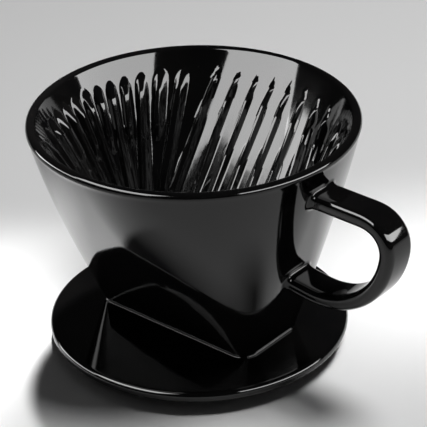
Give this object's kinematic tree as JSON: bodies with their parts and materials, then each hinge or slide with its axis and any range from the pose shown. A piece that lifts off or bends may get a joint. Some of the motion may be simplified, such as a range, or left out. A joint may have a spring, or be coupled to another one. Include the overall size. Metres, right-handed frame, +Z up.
{
  "type": "pour over dripper",
  "caption": "Black glazed ceramic pour-over coffee dripper: ribbed wedge cone with a round rim, saucer plate, locating ring and strap handle.",
  "frame": {"origin": "on the cone's axis, in the plane of the saucer plate's underside, which is where the dripper rests on a mug", "axes": "+Z up along the cone's axis, +X towards the handle, along the long side of the foot, +Y across it"},
  "size_m": [0.1463, 0.116, 0.0885],
  "materials": {
    "black_glaze": "glossy black glaze, pooled slightly in the corners and thin on the edges",
    "ring_glaze": "the same glossy black glaze, wiped off the ring's lower face, where the pale fired clay shows"
  },
  "bodies": {
    "root": {"filter_cone": "black_glaze", "base_plate": "black_glaze", "locating_ring": "ring_glaze", "handle": "black_glaze", "upper_handle_slip": "black_glaze", "lower_handle_slip": "black_glaze", "foot_slip": "black_glaze"}
  },
  "joints": []
}
